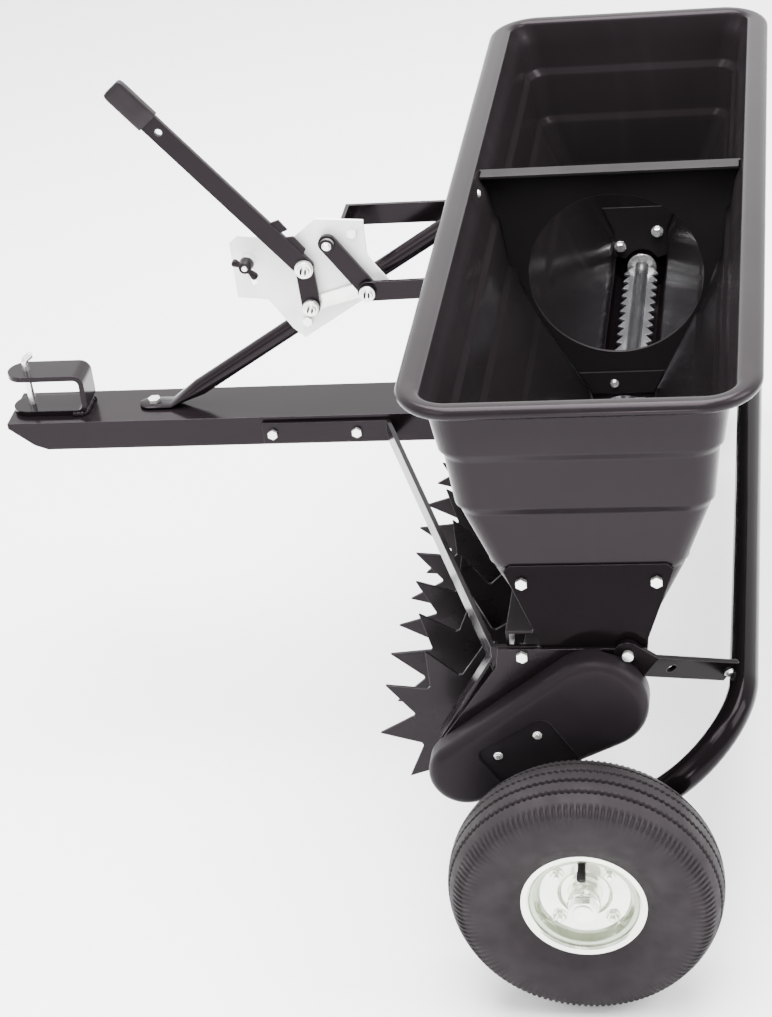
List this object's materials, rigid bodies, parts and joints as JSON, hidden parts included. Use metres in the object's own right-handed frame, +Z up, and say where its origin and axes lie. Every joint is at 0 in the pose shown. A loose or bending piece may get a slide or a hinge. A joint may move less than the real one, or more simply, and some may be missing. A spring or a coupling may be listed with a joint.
{
  "type": "tow behind aerator",
  "caption": "Tow behind spike aerator with a seed hopper, star wheels on a driven axle, an agitator, a lever operated metering gate and a swing up wheel frame.",
  "frame": {"origin": "on the ground under the middle of the machine's length and width", "axes": "+X to the rear, against the tow direction; +Y to the machine's right side; +Z up"},
  "size_m": [0.8454, 1.196, 0.7456],
  "materials": {
    "black_paint": "satin black powder coat",
    "spike_paint": "satin black on sheared sheet steel",
    "hopper_plastic": "satin moulded polyethylene",
    "zinc_plating": "bright zinc plating",
    "rim_plating": "pale zinc plating",
    "tyre_rubber": "dark tyre rubber",
    "grip_rubber": "dipped vinyl",
    "belt_rubber": "belt rubber"
  },
  "bodies": {
    "chassis": {"hopper": "hopper_plastic", "hopper_divider": "black_paint", "bottom_plate": "black_paint", "gate_guides": "black_paint", "end_plate_left": "black_paint", "end_plate_right": "black_paint", "side_plate_left": "black_paint", "side_plate_right": "black_paint", "front_rail": "black_paint", "tow_bar": "black_paint", "hitch_clevis": "black_paint", "tow_brace_left": "black_paint", "tow_brace_right": "black_paint", "control_tube": "black_paint", "control_strap": "black_paint", "control_plate": "zinc_plating", "control_pivots": "zinc_plating", "spiker_bearings": "zinc_plating", "agitator_bearings": "zinc_plating", "drive_belt": "belt_rubber", "belt_cover": "black_paint", "cover_screws": "zinc_plating", "transport_pivots": "zinc_plating", "frame_bolts": "zinc_plating"},
    "hitch_pin_body": {"hitch_pin": "zinc_plating"},
    "lever": {"control_lever": "black_paint", "lever_grip": "grip_rubber"},
    "link": {"control_link": "zinc_plating"},
    "crank": {"control_crank": "black_paint"},
    "pull": {"pull_bar": "black_paint"},
    "rocker": {"gate_rocker": "black_paint"},
    "gate": {"gate_plate": "zinc_plating"},
    "stop": {"stop_bolt": "zinc_plating"},
    "wing": {"wing_nut": "zinc_plating"},
    "spiker": {"spiker_axle": "zinc_plating", "spike_wheel_01": "spike_paint", "spike_wheel_02": "spike_paint", "spike_wheel_03": "spike_paint", "spike_wheel_04": "spike_paint", "spike_wheel_05": "spike_paint", "spike_wheel_06": "spike_paint", "spike_wheel_07": "spike_paint", "spike_wheel_08": "spike_paint", "spike_wheel_09": "spike_paint", "spike_wheel_10": "spike_paint", "spike_wheel_11": "spike_paint", "spike_spacers": "black_paint", "spiker_pulley": "zinc_plating"},
    "agitator": {"agitator_shaft": "zinc_plating", "agitator_blade": "zinc_plating", "agitator_pulley": "zinc_plating"},
    "transport_frame": {"transport_tube": "black_paint", "transport_strap_left": "black_paint", "transport_strap_right": "black_paint", "wheel_axles": "zinc_plating", "wheel_nuts": "zinc_plating"},
    "left_wheel": {"wheel_rim_left": "rim_plating", "tyre_left": "tyre_rubber"},
    "right_wheel": {"wheel_rim_right": "rim_plating", "tyre_right": "tyre_rubber"}
  },
  "joints": [
    {"name": "transport_swing", "type": "hinge", "parent": "chassis", "child": "transport_frame", "pos_m": [0.29125, 0, 0.331], "axis": [0, -1, 0], "range_deg": [0, 55]},
    {"name": "left_wheel_spin", "type": "hinge", "parent": "transport_frame", "child": "left_wheel", "pos_m": [0.24525, -0.555, 0.13], "axis": [0, 1, 0], "continuous": true},
    {"name": "right_wheel_spin", "type": "hinge", "parent": "transport_frame", "child": "right_wheel", "pos_m": [0.24525, 0.555, 0.13], "axis": [0, 1, 0], "continuous": true},
    {"name": "spiker_spin", "type": "hinge", "parent": "chassis", "child": "spiker", "pos_m": [0.12925, 0, 0.205], "axis": [0, 1, 0], "continuous": true},
    {"name": "agitator_spin", "type": "hinge", "parent": "chassis", "child": "agitator", "pos_m": [0.25925, 0, 0.285], "axis": [0, 1, 0], "continuous": true},
    {"name": "lever_swing", "type": "hinge", "parent": "chassis", "child": "lever", "pos_m": [-0.06375, 0, 0.524], "axis": [0, -1, 0], "range_deg": [0, 23]},
    {"name": "link_pivot", "type": "hinge", "parent": "lever", "child": "link", "pos_m": [-0.06175, 0, 0.4785], "axis": [0, -1, 0], "range_deg": [-15, 0]},
    {"name": "crank_pivot", "type": "hinge", "parent": "chassis", "child": "crank", "pos_m": [-0.03575, 0, 0.551], "axis": [0, -1, 0], "range_deg": [0, 17]},
    {"name": "pull_bar_pivot", "type": "hinge", "parent": "crank", "child": "pull", "pos_m": [0.00225, 0, 0.496], "axis": [0, -1, 0], "range_deg": [-22.5, 0]},
    {"name": "rocker_pivot", "type": "hinge", "parent": "chassis", "child": "rocker", "pos_m": [0.14725, 0, 0.335], "axis": [0, -1, 0], "range_deg": [-5.2, 0]},
    {"name": "gate_slide", "type": "slide", "parent": "chassis", "child": "gate", "axis": [-1, 0, 0], "range_m": [0, 0.0078]},
    {"name": "stop_slide", "type": "hinge", "parent": "chassis", "child": "stop", "pos_m": [-0.06375, 0, 0.524], "axis": [0, -1, 0], "range_deg": [0, 25]},
    {"name": "wing_nut_turn", "type": "hinge", "parent": "stop", "child": "wing", "pos_m": [-0.12515, 0, 0.53263], "axis": [0, 1, 0], "continuous": true},
    {"name": "hitch_pin_lift", "type": "slide", "parent": "chassis", "child": "hitch_pin_body", "axis": [0, 0, 1], "range_m": [0, 0.1]}
  ],
  "couplings": [
    {"joint": "agitator_spin", "follows": "spiker_spin", "ratio": 1.2381},
    {"joint": "link_pivot", "follows": "lever_swing", "ratio": -0.6323},
    {"joint": "crank_pivot", "follows": "lever_swing", "ratio": 0.7304},
    {"joint": "pull_bar_pivot", "follows": "lever_swing", "ratio": -0.9626},
    {"joint": "rocker_pivot", "follows": "lever_swing", "ratio": -0.2207},
    {"joint": "gate_slide", "follows": "lever_swing", "m_per_rad": 0.01919}
  ]
}
